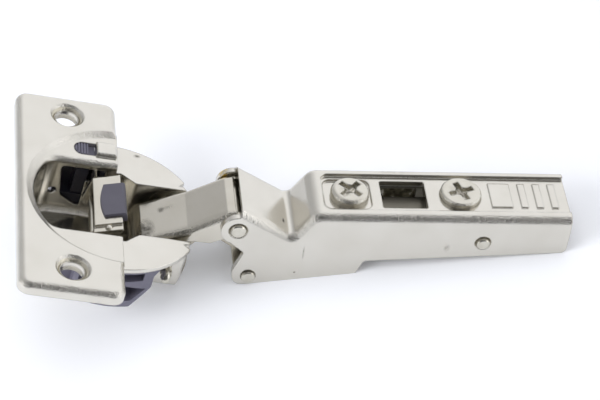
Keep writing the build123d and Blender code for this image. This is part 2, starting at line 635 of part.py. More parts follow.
def make_arm():
    """Folded channel: forked nose with two pairs of pin holes, sloped front, long adjusting part."""
    half = ARM_WIDTH / 2
    pin_outer, pin_inner = ARM_PIVOT_OUTER, ARM_PIVOT_INNER
    outline = side_face(
        [
            SLOPE_FRONT,
            VALLEY,
            (RISE_TOP_X, ARM_TOP_Z),
            (ARM_REAR_X, ARM_TOP_Z),
            (ARM_REAR_X, REAR_BOTTOM_Z),
            STEP_HIGH,
            STEP_LOW,
            (NOSE_BOTTOM_X, ARM_BOTTOM_Z),
            (pin_inner[0] - 3.2, ARM_BOTTOM_Z),
            (pin_inner[0] - 3.4, -13.7),
            NOTCH_APEX,
            (pin_outer[0] - 1.6, pin_outer[1] - 3.0),
        ]
    )
    rounding = (
        (VALLEY, STEP_CORNER_R * 1.5),
        ((RISE_TOP_X, ARM_TOP_Z), RISE_TOP_R),
        ((pin_inner[0] - 3.2, ARM_BOTTOM_Z), NOSE_CORNER_R),
        ((pin_inner[0] - 3.4, -13.7), REAR_CORNER_R),
        (NOTCH_APEX, STEP_CORNER_R),
        ((ARM_REAR_X, REAR_BOTTOM_Z), REAR_CORNER_R),
        (STEP_HIGH, STEP_CORNER_R),
        (STEP_LOW, STEP_CORNER_R),
    )
    for corner, radius in rounding:
        outline = fillet(outline.vertices().sort_by_distance((*corner, 0))[:1], radius)
    outline = outline + Pos(*pin_outer) * Circle(OUTER_EAR_R)
    arm = across(outline, half)
    top_edges = arm.edges().filter_by(
        lambda e: abs(abs(e.center().Y) - half) < 0.01
        and SLOPE_FRONT[0] < e.center().X < ARM_REAR_X - 0.1
        and e.center().Z > VALLEY[1] - ARM_SHEET / 2
    )
    arm = fillet(top_edges, ARM_EDGE_R)

    ceiling = ARM_TOP_Z - CHANNEL_DEPTH - ARM_SHEET
    slant = ARM_SHEET * 1.2
    inside = side_face(
        [
            (0, BOSS_D),
            (SLOPE_FRONT[0], BOSS_D),
            (SLOPE_FRONT[0], SLOPE_FRONT[1] - slant),
            (VALLEY[0] - 0.5, VALLEY[1] - slant),
            (VALLEY[0] + 1.4, VALLEY[1] - slant),
            (RISE_TOP_X + 1.0, ceiling),
            (ARM_REAR_X - ARM_SHEET, ceiling),
            (ARM_REAR_X - ARM_SHEET, -BOSS_D),
            (0, -BOSS_D),
        ]
    )
    arm = arm - across(inside, half - ARM_SHEET)
    inner = half - ARM_SHEET
    rear_x = (ARM_REAR_X - 2 * ARM_SHEET, ARM_REAR_X + ARM_SHEET)
    arm = arm - block(rear_x, (-inner, inner), (-BOSS_D, REAR_LIP_Z))

    floor_z = ARM_TOP_Z - CHANNEL_DEPTH
    sides = (-CHANNEL_HALF_WIDTH, CHANNEL_HALF_WIDTH)
    channel = block((CHANNEL_FRONT_X, ARM_REAR_X + ARM_SHEET), sides, (floor_z, floor_z + ARM_SHEET))
    channel = fillet(channel.edges().filter_by(Axis.Z).sort_by(Axis.X)[:2], CHANNEL_CORNER_R)
    arm = arm - channel
    pocket_half = SIDE_HEAD_R + SCREW_POCKET_GAP
    pocket_x = (CHANNEL_FRONT_X + SCREW_POCKET_GAP, SIDE_SCREW_X + pocket_half)
    pocket_z = (floor_z - SCREW_POCKET_DEPTH, floor_z + ARM_SHEET)
    pocket = block(pocket_x, (-pocket_half, pocket_half), pocket_z)
    arm = arm - fillet(pocket.edges().filter_by(Axis.Z), CHANNEL_CORNER_R)
    lift = (floor_z - 0.1, floor_z + RAISED_HEIGHT)
    raised = (-RAISED_HALF_WIDTH, RAISED_HALF_WIDTH)
    arm = arm + block(PAD_X, raised, lift)
    for rib in RIB_X:
        arm = arm + block((rib, rib + RIB_LENGTH), raised, lift)
    window = block(ARM_WINDOW_X, (-ARM_WINDOW_HALF_WIDTH, ARM_WINDOW_HALF_WIDTH), (-2, 5))
    arm = arm - fillet(window.edges().filter_by(Axis.Z), WINDOW_CORNER_R / 2)
    arm = arm - Pos(SIDE_SCREW_X, 0, 0) * Cylinder(SIDE_SHANK_R + RUNNING_FIT, 20)
    arm = arm - Pos(CAM_SCREW_X, 0, 0) * Cylinder(CAM_HEAD_R + RUNNING_FIT, 20)
    arm = arm - cross_rod(pin_inner, INNER_PIN_R + FIXED_FIT, -ARM_WIDTH, ARM_WIDTH)
    for place, radius in ((pin_outer, OUTER_PIN_R), (LATCH_PIVOT, LATCH_RIVET_R)):
        arm = arm - cross_rod(place, radius + FIXED_FIT, -ARM_WIDTH, ARM_WIDTH)
        seat = Rot(90, 0, 0) * Cone(radius + FIXED_FIT, radius + FIXED_FIT + PIN_SEAT, PIN_SEAT)
        seat = Pos(place[0], -half + PIN_SEAT / 2, place[1]) * seat
        arm = arm - seat - mirror(seat, about=Plane.XZ)
    return arm


def make_arm_pin(place, radius, rise):
    """A pin through both walls of the arm, its ends proud of them or, with a rise below zero, sunk."""
    end = ARM_WIDTH / 2 + rise
    pin = cross_rod(place, radius, -end, end)
    return chamfer(pin.edges().filter_by(GeomType.CIRCLE), PIN_CHAMFER)


def make_waisted_pin():
    """The arm's inner pin: full size in the walls, thinner where the inner link's eye plays."""
    waist = ARM_WIDTH / 2 - ARM_SHEET - SIDE_GAP
    pin = make_arm_pin(ARM_PIVOT_INNER, INNER_PIN_R, INNER_PIN_RISE)
    sleeve = cross_rod(ARM_PIVOT_INNER, 2 * INNER_PIN_R, -waist, waist)
    return pin - (sleeve - cross_rod(ARM_PIVOT_INNER, INNER_PIN_WAIST_R, -waist, waist))


def make_closing_spring():
    """A folded leaf spring in the nose: one leg under the arm's slope, one behind the inner link's eye."""
    rest = VALLEY[1] - ARM_SHEET * 1.2
    bend = (VALLEY[0] + 1.4, rest - SPRING_BEND_R)
    low = rest - 2 * SPRING_BEND_R
    top = side_face(
        [
            (VALLEY[0] - 0.5, rest),
            (bend[0], rest),
            (bend[0], rest - SPRING_SHEET),
            (VALLEY[0] - 0.5, rest - SPRING_SHEET),
        ]
    )
    ring = Pos(*bend) * (Circle(SPRING_BEND_R) - Circle(SPRING_BEND_R - SPRING_SHEET))
    ring = ring & Pos(bend[0] + SPRING_BEND_R, bend[1]) * Rectangle(2 * SPRING_BEND_R, 4 * SPRING_BEND_R)
    leg = side_face(
        [
            (bend[0], low),
            (bend[0], low + SPRING_SHEET),
            (bend[0] - SPRING_LEG, low + SPRING_SHEET - 0.9),
            (bend[0] - SPRING_LEG, low - 0.9),
        ]
    )
    return across(top + ring + leg, INNER_HALF_WIDTH)


def cross_recess(top_z, turn):
    """The cross-shaped driver recess in a screw head, narrowing to a shallow cone in the middle."""
    bar = Box(CROSS_SPAN, CROSS_WIDTH, CROSS_DEPTH) + Box(CROSS_WIDTH, CROSS_SPAN, CROSS_DEPTH)
    cone = Pos(0, 0, -CROSS_DEPTH * 0.2) * Cone(0.4, CROSS_WIDTH, CROSS_DEPTH * 1.4)
    return Pos(0, 0, top_z - CROSS_DEPTH / 2) * (Rot(0, 0, turn) * (bar + cone))


def make_side_screw():
    """Pan-head screw that lifts the arm off the carrier to shift the door sideways."""
    seat = ARM_TOP_Z - CHANNEL_DEPTH - SCREW_POCKET_DEPTH + RUNNING_FIT
    head = Pos(0, 0, seat + SIDE_HEAD_HEIGHT / 2) * Cylinder(SIDE_HEAD_R, SIDE_HEAD_HEIGHT)
    head = fillet(head.edges().sort_by(Axis.Z)[-1:], SIDE_HEAD_HEIGHT * 0.6)
    shank = Pos(0, 0, seat - SIDE_SHANK_LENGTH / 2) * Cylinder(SIDE_SHANK_R, SIDE_SHANK_LENGTH)
    screw = head + shank - cross_recess(seat + SIDE_HEAD_HEIGHT, SIDE_CROSS_TURN)
    return Pos(SIDE_SCREW_X, 0, 0) * screw


def make_cam_screw():
    """Flat-head cam: its off-centre pin shifts the carrier along the arm."""
    seat = ARM_TOP_Z - CHANNEL_DEPTH - ARM_SHEET - 0.05
    top = ARM_TOP_Z - CHANNEL_DEPTH + CAM_HEAD_RISE
    head = Pos(0, 0, (seat + top) / 2) * Cylinder(CAM_HEAD_R, top - seat)
    head = chamfer(head.edges().sort_by(Axis.Z)[-1:], 0.35)
    pin = Pos(0, CAM_ECCENTRIC, seat - CAM_PIN_LENGTH / 2) * Cylinder(CAM_PIN_R, CAM_PIN_LENGTH)
    return Pos(CAM_SCREW_X, 0, 0) * (head + pin - cross_recess(top, CAM_CROSS_TURN))


def make_carrier():
    """Folded saddle inside the arm that sits on the mounting plate."""
    top = ARM_TOP_Z - CHANNEL_DEPTH - ARM_SHEET - CARRIER_GAP
    under = top - CARRIER_SHEET
    half = CARRIER_HALF_WIDTH
    carrier = block(CARRIER_X, (-half, half), (under, top))
    walls = block(CARRIER_WALL_X, (-half, half), (CARRIER_BOTTOM_Z, top))
    walls = walls - block(CARRIER_WALL_X, (-half + CARRIER_SHEET, half - CARRIER_SHEET), (-40, under))
    carrier = carrier + walls
    tongue_x = (ARM_WINDOW_X[0] - CARRIER_TRAVEL, ARM_WINDOW_X[1] + CARRIER_TRAVEL)
    tongue_y = (-half + CARRIER_SHEET, TONGUE_FAR_Y)
    gap_x = (tongue_x[0] + CARRIER_SHEET, tongue_x[1] - CARRIER_SHEET)
    tongue = block(tongue_x, tongue_y, (under - TONGUE_DROP, top))
    tongue = tongue - block(gap_x, (-half, half), (top - TONGUE_DROP, ARM_TOP_Z))
    tab = cross_rod((gap_x[0], top - TONGUE_DROP), TONGUE_TAB, TONGUE_FAR_Y - TONGUE_TAB, TONGUE_FAR_Y)
    carrier = carrier - block(gap_x, (-half + CARRIER_SHEET, half - CARRIER_SHEET), (under, top)) + tongue
    carrier = carrier + (tab & block(gap_x, tongue_y, (under - TONGUE_DROP, top)))
    shank_slot = SlotOverall(2 * (SIDE_SHANK_R + CARRIER_TRAVEL + 0.3), 2 * (SIDE_SHANK_R + 0.3))
    carrier = carrier - Pos(SIDE_SCREW_X, 0, -20) * extrude(shank_slot, amount=40)
    pin_half = CAM_PIN_R + CAM_PLAY
    cam_y = (CAM_ECCENTRIC / 2 - pin_half - 0.2, CAM_ECCENTRIC + pin_half + 0.2)
    carrier = carrier - block((CAM_SCREW_X - pin_half, CAM_SCREW_X + pin_half), cam_y, (-20, 5))
    rivet_half = LATCH_RIVET_R + CARRIER_TRAVEL + 0.25
    rivet_x = (LATCH_PIVOT[0] - rivet_half, LATCH_PIVOT[0] + rivet_half)
    rivet_z = (LATCH_PIVOT[1] - LATCH_RIVET_R - 0.25, LATCH_PIVOT[1] + LATCH_RIVET_R + 0.25)
    return carrier - block(rivet_x, (-ARM_WIDTH, ARM_WIDTH), rivet_z)


def make_latch():
    """Spring latch on the rivet: hook in front for the mounting plate, thumb plate at the rear end."""
    x, z = LATCH_PIVOT
    lever = side_face(
        [
            (x - 1.5, z + 2.0),
            (x + 3.0, z + 1.6),
            (x + 13.0, z + 0.6),
            (x + 16.6, z - 0.8),
            (x + 16.4, z - 2.0),
            (x + 12.5, z - 0.8),
            (x + 3.0, z - 0.4),
            (x - 1.0, z - 3.9),
            (x - 4.8, z - 3.7),
            (x - 4.0, z - 2.6),
            (x - 2.4, z - 2.0),
        ]
    )
    lever = lever + Pos(x, z) * Circle(LATCH_HUB_R)
    lever = across(lever, LATCH_HALF_WIDTH)
    return lever - cross_rod(LATCH_PIVOT, LATCH_RIVET_R + RUNNING_FIT, -ARM_WIDTH, ARM_WIDTH)


def make_latch_spring():
    """A bent leaf under the carrier that presses the latch's rear end down."""
    top = ARM_TOP_Z - CHANNEL_DEPTH - ARM_SHEET - CARRIER_GAP - CARRIER_SHEET
    x, z = LATCH_PIVOT
    sheet = SPRING_SHEET * 0.6
    leaf = side_face(
        [
            (x + 3.4, top),
            (x + 7.4, top),
            (x + 11.6, z + 0.77 + sheet),
            (x + 11.6, z + 0.77),
            (x + 7.2, top - sheet),
            (x + 3.4, top - sheet),
        ]
    )
    return across(leaf, LATCH_HALF_WIDTH * 0.6)


os.makedirs("parts", exist_ok=True)
cup_pin_outer, cup_pin_inner, rocker_pin = make_cup_pins()
damper_housing, switch_housing = make_housings()
damper_cylinder, damper_slider = make_damper()
rocker_plate, rocker_pad = make_rocker()
cup_pieces = {
    "hinge_cup": make_cup(),
    "cup_pin_outer": cup_pin_outer,
    "cup_pin_inner": cup_pin_inner,
    "damper_housing": damper_housing,
    "switch_housing": switch_housing,
    "damper_cylinder": damper_cylinder,
    "damper_slider": damper_slider,
    "rocker_plate": rocker_plate,
    "rocker_pad": rocker_pad,
    "rocker_pin": rocker_pin,
    "soft_close_switch": make_switch(),
}
arm_pieces = {
    "outer_link": make_outer_link(),
    "inner_link": make_inner_link(),
    "arm_channel": make_arm(),
    "outer_link_pin": make_arm_pin(ARM_PIVOT_OUTER, OUTER_PIN_R, PIN_HEAD_RISE),
    "inner_link_pin": make_waisted_pin(),
    "closing_spring": make_closing_spring(),
    "adjusting_carrier": make_carrier(),
    "side_adjust_screw": make_side_screw(),
    "depth_cam_screw": make_cam_screw(),
    "clip_latch": make_latch(),
    "latch_rivet": make_arm_pin(LATCH_PIVOT, LATCH_RIVET_R, RIVET_RISE),
    "latch_spring": make_latch_spring(),
}
for name, piece in cup_pieces.items():
    export_step(on_cup(piece), f"parts/{name}.step")
for name, piece in arm_pieces.items():
    export_step(piece, f"parts/{name}.step")
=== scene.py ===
"""Looks for the concealed cup hinge: pressed nickel, moulded plastics, wear, floor, light and camera."""
from math import cos, pi, radians, sin

import bmesh
import bpy
from mathutils import Matrix, Vector


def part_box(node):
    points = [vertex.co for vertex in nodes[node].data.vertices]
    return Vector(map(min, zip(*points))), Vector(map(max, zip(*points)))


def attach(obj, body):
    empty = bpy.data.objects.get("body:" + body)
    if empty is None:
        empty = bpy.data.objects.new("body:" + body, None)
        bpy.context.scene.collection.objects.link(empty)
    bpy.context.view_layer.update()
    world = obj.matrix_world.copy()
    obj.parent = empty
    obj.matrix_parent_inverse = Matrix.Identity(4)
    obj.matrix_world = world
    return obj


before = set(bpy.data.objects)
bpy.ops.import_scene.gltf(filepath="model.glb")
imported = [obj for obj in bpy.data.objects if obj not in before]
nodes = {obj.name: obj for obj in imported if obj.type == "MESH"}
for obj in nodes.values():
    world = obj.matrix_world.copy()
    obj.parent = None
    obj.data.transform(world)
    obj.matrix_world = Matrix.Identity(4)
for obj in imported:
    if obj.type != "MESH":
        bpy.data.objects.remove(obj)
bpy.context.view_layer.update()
MM = 0.001


# Hinge cup: one deep drawing in steel sheet, nickel plated after pressing. The flat parts keep the
# roll's fine satin; the drawn bends are stretched, so they are brighter and grainy, and handling
# leaves faint cloudy patches.
PATCH_SIZE = 7 * MM
# The stretched skin's grain is about 0.1 mm; it is drawn at 0.3 mm so that it shows.
GRAIN_SIZE = 0.3 * MM
GRAIN_HEIGHT = 0.16 * MM
FLAT_GRAIN = 0.1
BEND_GRAIN = 0.9
BEND_STARTS = 0.03
BEND_FULL = 0.2
STAIN_AND_SHADE_TEAR = 1.3 * MM
STAIN_AND_SHADE_DULLS = 0.3


def tint(code):
    """A linear colour from an sRGB hex code."""
    parts = [int(code[i : i + 2], 16) / 255 for i in (1, 3, 5)]
    return [c / 12.92 if c <= 0.04045 else ((c + 0.055) / 1.055) ** 2.4 for c in parts] + [1.0]


def add_node(tree, kind, inputs=None, **settings):
    """Add a node, set its fields, and set or link its inputs."""
    made = tree.nodes.new(kind)
    for field, value in settings.items():
        setattr(made, field, value)
    for socket, value in (inputs or {}).items():
        if isinstance(value, bpy.types.NodeSocket):
            tree.links.new(value, made.inputs[socket])
        else:
            made.inputs[socket].default_value = value
    return made


def pressed_nickel(
    name, flat="#DAD7CF", cloud="#CFCBC1", roughness=0.2, edge=0.35, bend_axis="Y", marks=()
):
    """Nickel plate on pressed sheet; marks are stains and patches of painted shade, each given as place and
    half sizes in mm, strength, colour.
    """
    material = bpy.data.materials.new(name)
    material.use_nodes = True
    tree = material.node_tree
    shader = tree.nodes["Principled BSDF"]
    where = add_node(tree, "ShaderNodeTexCoord")
    place = where.outputs["Object"]
    facing = add_node(tree, "ShaderNodeSeparateXYZ", {0: where.outputs["Normal"]})
    patches = add_node(tree, "ShaderNodeTexNoise", {"Vector": place, "Scale": 1 / PATCH_SIZE, "Detail": 4.0})
    grit = add_node(tree, "ShaderNodeTexNoise", {"Vector": place, "Scale": 1 / GRAIN_SIZE, "Detail": 2.0})
    rounded = add_node(tree, "ShaderNodeBevel", {"Radius": edge * MM}, samples=6)
    # A bend faces partly along its axis and partly across: the square times one less the square.
    sideways = add_node(tree, "ShaderNodeMath", {0: facing.outputs[bend_axis], 1: 2.0}, operation="POWER")
    upright = add_node(tree, "ShaderNodeMath", {0: 1.0, 1: sideways.outputs[0]}, operation="SUBTRACT")
    drawn = add_node(
        tree, "ShaderNodeMath", {0: sideways.outputs[0], 1: upright.outputs[0]}, operation="MULTIPLY"
    )
    bend = add_node(
        tree,
        "ShaderNodeMapRange",
        {"Value": drawn.outputs[0], "From Min": BEND_STARTS, "From Max": BEND_FULL},
    ).outputs["Result"]
    shade = add_node(
        tree,
        "ShaderNodeMix",
        {"Factor": patches.outputs["Fac"], "A": tint(flat), "B": tint(cloud)},
        data_type="RGBA",
    )
    colour = shade.outputs[2]
    rough = add_node(
        tree,
        "ShaderNodeMapRange",
        {
            "Value": patches.outputs["Fac"],
            "From Min": 0.3,
            "From Max": 0.7,
            "To Min": roughness - 0.05,
            "To Max": roughness + 0.06,
        },
    ).outputs["Result"]
    # Each mark mixes its colour into the plate: most are stains, some are painted shade standing in for
    # shadow.
    for spot, size, strength, stain_and_shade_colour in marks:
        middle = [c * MM for c in spot]
        halves = [c * MM for c in size]
        away = add_node(tree, "ShaderNodeVectorMath", {0: place, 1: middle}, operation="SUBTRACT")
        scaled = add_node(tree, "ShaderNodeVectorMath", {0: away.outputs[0], 1: halves}, operation="DIVIDE")
        reach = add_node(tree, "ShaderNodeVectorMath", {0: scaled.outputs[0]}, operation="LENGTH")
        near = add_node(
            tree,
            "ShaderNodeMapRange",
            {"Value": reach.outputs["Value"], "From Min": 1.0, "From Max": 0.25, "To Max": strength},
        )
        torn = add_node(tree, "ShaderNodeTexNoise", {"Vector": place, "Scale": 1 / STAIN_AND_SHADE_TEAR, "Detail": 2.0})
        ragged = add_node(
            tree, "ShaderNodeMapRange", {"Value": torn.outputs["Fac"], "From Min": 0.3, "From Max": 0.6}
        )
        stain_and_shade_share = add_node(
            tree,
            "ShaderNodeMath",
            {0: near.outputs["Result"], 1: ragged.outputs["Result"]},
            operation="MULTIPLY",
        ).outputs["Value"]
        stain_and_shade_mix = add_node(
            tree, "ShaderNodeMix", {"Factor": stain_and_shade_share, "A": colour, "B": tint(stain_and_shade_colour)}, data_type="RGBA"
        )
        colour = stain_and_shade_mix.outputs[2]
        rough = add_node(
            tree, "ShaderNodeMath", {0: stain_and_shade_share, 1: STAIN_AND_SHADE_DULLS, 2: rough}, operation="MULTIPLY_ADD"
        ).outputs[0]
    grain = add_node(
        tree, "ShaderNodeMath", {0: bend, 1: BEND_GRAIN, 2: FLAT_GRAIN}, operation="MULTIPLY_ADD"
    ).outputs[0]
    relief = add_node(
        tree,
        "ShaderNodeBump",
        {
            "Strength": grain,
            "Distance": GRAIN_HEIGHT,
            "Height": grit.outputs["Fac"],
            "Normal": rounded.outputs["Normal"],
        },
    )
    tree.links.new(colour, shader.inputs["Base Color"])
    tree.links.new(rough, shader.inputs["Roughness"])
    tree.links.new(relief.outputs["Normal"], shader.inputs["Normal"])
    shader.inputs["Metallic"].default_value = 1.0
    return material


def dress(material, *names):
    """Give CAD nodes one material all over."""
    for name in names:
        slots = nodes[name].data.materials
        slots.clear()
        slots.append(material)


cup_nickel = pressed_nickel(
    "cup_nickel", edge=0.45, bend_axis="Z", marks=[((4.95, 16.1, -3.9), (0.9, 0.6, 0.9), 0.75, "#4A463C")]
)
dress(cup_nickel, "hinge_cup")


# Screw collars: the rolled lip drawn down into each of the flange's two screw holes, same sheet and
# plate as the cup. The lip is burnished by the tool, so it shines more than the flat.
CUP_TILT = radians(9.5)
SCREW_U = -9.5
SCREW_HALF_SPAN = 22.5
on_cup = Matrix.Rotation(CUP_TILT, 4, "Y")


def turned(name, profile, place, segments=48):
    """A turned piece: radius and height pairs in mm spun about the local Z axis, then put in place."""
    mesh = bpy.data.meshes.new(name)
    shape = bmesh.new()
    rings = []
    for radius, height in profile:
        ring = []
        for step in range(segments if radius else 1):
            angle = 2 * pi * step / segments
            spot = Vector((radius * cos(angle), radius * sin(angle), height)) * MM
            ring.append(shape.verts.new(place @ spot))
        rings.append(ring if radius else ring * segments)
    for low, high in zip(rings, rings[1:] + rings[:1]):
        for step in range(segments):
            following = (step + 1) % segments
            corners = dict.fromkeys((low[step], low[following], high[following], high[step]))
            if len(corners) > 2:
                shape.faces.new(corners)
    bmesh.ops.recalc_face_normals(shape, faces=shape.faces)
    shape.to_mesh(mesh)
    shape.free()
    mesh.shade_smooth()
    piece = bpy.data.objects.new(name, mesh)
    bpy.context.scene.collection.objects.link(piece)
    return piece


burnished = pressed_nickel("burnished_nickel", flat="#D3CEC0", cloud="#BDB7A5", roughness=0.11)
collar_profile = [
    (2.45, -3.1),
    (2.45, -1.3),
    (2.55, -0.95),
    (2.85, -0.62),
    (3.25, -0.42),
    (3.6, -0.25),
    (3.75, -0.08),
    (3.8, -0.06),
    (3.7, -0.3),
    (3.3, -0.8),
    (2.95, -1.3),
    (2.8, -3.1),
]
for side, word in ((-1, "near"), (1, "far")):
    spot = on_cup @ Matrix.Translation(Vector((SCREW_U, side * SCREW_HALF_SPAN, 0)) * MM)
    collar = turned(f"screw_collar_{word}", collar_profile, spot)
    collar.data.materials.append(burnished)
    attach(collar, "cup")


# Cup pins, rocker pin and damper cylinder: steel wire and tube, drawn to size, cut, chamfered and plated,
# then pressed into the cup. The drawing die leaves a fine uneven skin.
PIN_HAZE = 1.2 * MM
# The die's marks are about 0.05 mm; they are drawn at 0.25 mm so that they show.
PIN_SKIN = 0.25 * MM
PIN_CHAMFER = 0.25 * MM


def drawn_pin(name, colour="#D5D2C8", roughness=0.24):
    """Plated steel wire with the fine skin that drawing leaves."""
    material = bpy.data.materials.new(name)
    material.use_nodes = True
    tree = material.node_tree
    shader = tree.nodes["Principled BSDF"]
    place = add_node(tree, "ShaderNodeTexCoord").outputs["Object"]
    haze = add_node(tree, "ShaderNodeTexNoise", {"Vector": place, "Scale": 1 / PIN_HAZE, "Detail": 3.0})
    tone = add_node(
        tree,
        "ShaderNodeMix",
        {"Factor": haze.outputs["Fac"], "A": tint(colour), "B": tint("#B9B4A6")},
        data_type="RGBA",
    )
    skin = add_node(tree, "ShaderNodeTexNoise", {"Vector": place, "Scale": 1 / PIN_SKIN, "Detail": 1.0})
    rounded = add_node(tree, "ShaderNodeBevel", {"Radius": PIN_CHAMFER}, samples=4)
    relief = add_node(
        tree,
        "ShaderNodeBump",
        {
            "Strength": 0.15,
            "Distance": 0.05 * MM,
            "Height": skin.outputs["Fac"],
            "Normal": rounded.outputs["Normal"],
        },
    )
    tree.links.new(tone.outputs[2], shader.inputs["Base Color"])
    tree.links.new(relief.outputs["Normal"], shader.inputs["Normal"])
    shader.inputs["Metallic"].default_value = 1.0
    shader.inputs["Roughness"].default_value = roughness
    return material


pin_steel = drawn_pin("pin_steel")
dress(pin_steel, "cup_pin_outer", "cup_pin_inner", "rocker_pin", "damper_cylinder")


# Pin tail: the near end of the cup's inner pin is bent down after it is put in, so that it can't slide
# out. Same wire as the pin, with the rounded end that the cropping tool leaves.
INNER_PIN_IN_CUP = (11.75, -9.5)
TAIL_START_Y = -11.0
TAIL_BEND = radians(143)
tail_profile = [
    (0, -1.0),
    (1.1, -1.0),
    (1.1, 0.9),
    (1.02, 1.3),
    (0.78, 1.65),
    (0.42, 1.88),
    (0, 1.95),
]
tail_foot = Matrix.Translation(Vector((INNER_PIN_IN_CUP[0], TAIL_START_Y, INNER_PIN_IN_CUP[1])) * MM)
tail = turned("cup_pin_tail", tail_profile, on_cup @ tail_foot @ Matrix.Rotation(TAIL_BEND, 4, "X"))
tail.data.materials.append(pin_steel)
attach(tail, "cup")


# Damper and switch housings, slider, switch and rocker pad: injection-moulded glass-filled nylon, grey or
# black, clipped to the cup and the rocker. The mould's spark finish scatters light softly.
# The spark finish is about 0.03 mm; it is drawn at 0.2 mm so that it shows.
SPARK_SIZE = 0.2 * MM
FLOW_SIZE = 2.5 * MM
MOULD_EDGE = 0.2 * MM
NYLON_IOR = 1.53


def moulded_nylon(name, colour, fleck, roughness=0.5):
    """Moulded nylon with a fine spark-eroded skin and paler glass flecks."""
    material = bpy.data.materials.new(name)
    material.use_nodes = True
    tree = material.node_tree
    shader = tree.nodes["Principled BSDF"]
    place = add_node(tree, "ShaderNodeTexCoord").outputs["Object"]
    skin = add_node(tree, "ShaderNodeTexNoise", {"Vector": place, "Scale": 1 / SPARK_SIZE, "Detail": 3.0})
    flow = add_node(tree, "ShaderNodeTexNoise", {"Vector": place, "Scale": 1 / FLOW_SIZE, "Detail": 2.0})
    tone = add_node(
        tree,
        "ShaderNodeMix",
        {"Factor": flow.outputs["Fac"], "A": tint(colour), "B": tint(fleck)},
        data_type="RGBA",
    )
    rounded = add_node(tree, "ShaderNodeBevel", {"Radius": MOULD_EDGE}, samples=4)
    relief = add_node(
        tree,
        "ShaderNodeBump",
        {
            "Strength": 0.2,
            "Distance": 0.04 * MM,
            "Height": skin.outputs["Fac"],
            "Normal": rounded.outputs["Normal"],
        },
    )
    tree.links.new(tone.outputs[2], shader.inputs["Base Color"])
    tree.links.new(relief.outputs["Normal"], shader.inputs["Normal"])
    shader.inputs["Roughness"].default_value = roughness
    shader.inputs["IOR"].default_value = NYLON_IOR
    return material


grey_nylon = moulded_nylon("grey_nylon", "#4C4A55", "#56545F")
black_nylon = moulded_nylon("black_nylon", "#232229", "#2E2D36", roughness=0.35)
pale_nylon = moulded_nylon("pale_nylon", "#6A6877", "#757382")
dress(grey_nylon, "rocker_pad")
dress(pale_nylon, "damper_housing", "soft_close_switch")
dress(black_nylon, "switch_housing", "damper_slider")


# Rocker plate: pressed and folded steel sheet, nickel plated. It turns on the rocker pin in the cup's pot,
# carries the grey pad that the outer link presses, and drives the damper.
dress(pressed_nickel("rocker_nickel", flat="#D9D5CA", cloud="#CCC7B9"), "rocker_plate")


# Outer link: steel sheet folded to a U and nickel plated, on a pin in the arm and a pin in the cup. Its web
# has handling marks, dark patches near the cup end and a yellow stain where it enters the arm.
link_nickel = pressed_nickel(
    "link_nickel",
    flat="#D3CFC5",
    cloud="#C3BEB1",
    marks=[
        ((9.25, 1.7, -5.5), (0.9, 0.9, 0.9), 0.95, "#2F2C26"),
        ((10.9, 1.9, -4.9), (1.8, 0.6, 0.9), 0.5, "#4A463C"),
        ((6.0, -3.2, -6.6), (2.2, 3.6, 2.0), 0.8, "#2E2B24"),
        ((21.9, 5.9, 0.1), (1.2, 1.2, 1.2), 0.95, "#EBC934"),
    ],
)
dress(link_nickel, "outer_link")


# Inner link: a thick steel stamping, thinly plated, so it is duller. It turns on the inner pins and is mostly
# hidden between the outer link's sides.
dress(pressed_nickel("inner_link_nickel", flat="#C4BFB1", cloud="#B0AA99", roughness=0.34), "inner_link")


# Arm: a long channel folded from the same plated sheet, with its pins and rivet pressed through the sides.
# It has a scratch in the valley, marks on the near side and a yellow stain at the front end; the large
# mark is painted shade on the far wall's inside, for the dark that shows through the window.
arm_nickel = pressed_nickel(
    "arm_nickel",
    edge=0.45,
    marks=[
        ((33.7, -3.3, -3.3), (0.35, 0.9, 0.6), 0.9, "#3A362E"),
        ((37.9, -7.65, -8.2), (0.25, 0.6, 2.2), 0.5, "#5A564C"),
        ((36.6, -7.65, -13.7), (0.35, 0.6, 0.35), 0.7, "#5A564C"),
        ((67.3, -7.65, -6.3), (0.9, 0.6, 1.2), 0.35, "#6A665C"),
        # painted shade: the unlit inside of the arm, seen through the window
        ((57.0, 6.0, -4.2), (14.0, 1.2, 6.5), 3.0, "#7A745F"),
        ((21.8, 7.2, 0.2), (1.5, 1.1, 1.4), 1.0, "#FFD83A"),
    ],
)
dress(arm_nickel, "arm_channel")
arm_pin_steel = drawn_pin("arm_pin_steel", colour="#DEDBD1")
dress(arm_pin_steel, "outer_link_pin", "inner_link_pin", "latch_rivet")


# Rivet heads: both ends of the arm's inner pin are upset by the press until they stand a little proud
# of the arm's sides. They are the pin's own steel.
pin_low, pin_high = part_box("inner_link_pin")
HEAD_RISE = 1.05
HEAD_R = 1.43
head_profile = [
    (0, 0),
    (HEAD_R, 0),
    (HEAD_R, HEAD_RISE - 0.25),
    (1.36, HEAD_RISE - 0.1),
    (1.18, HEAD_RISE),
    (0, HEAD_RISE),
]
pin_middle = (Vector(pin_low) + Vector(pin_high)) / 2
for end_y, turn, word in ((pin_low[1], pi / 2, "near"), (pin_high[1], -pi / 2, "far")):
    spot = Matrix.Translation((pin_middle.x, end_y, pin_middle.z)) @ Matrix.Rotation(turn, 4, "X")
    head = turned(f"rivet_head_{word}", head_profile, spot)
    head.data.materials.append(arm_pin_steel)
    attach(head, "arm")


# Carrier, latch and springs: the carrier slides in the arm and the latch turns on its rivet, both pressed
# plated sheet, darkened as painted shade for the arm's dark inside. The springs are bent from bare spring
# steel.
carrier_nickel_painted_shade = pressed_nickel("carrier_nickel_painted_shade", flat="#8A867B", cloud="#757166", roughness=0.34)
dress(carrier_nickel_painted_shade, "adjusting_carrier", "clip_latch")
dress(drawn_pin("spring_steel", colour="#8E897D", roughness=0.36), "closing_spring", "latch_spring")
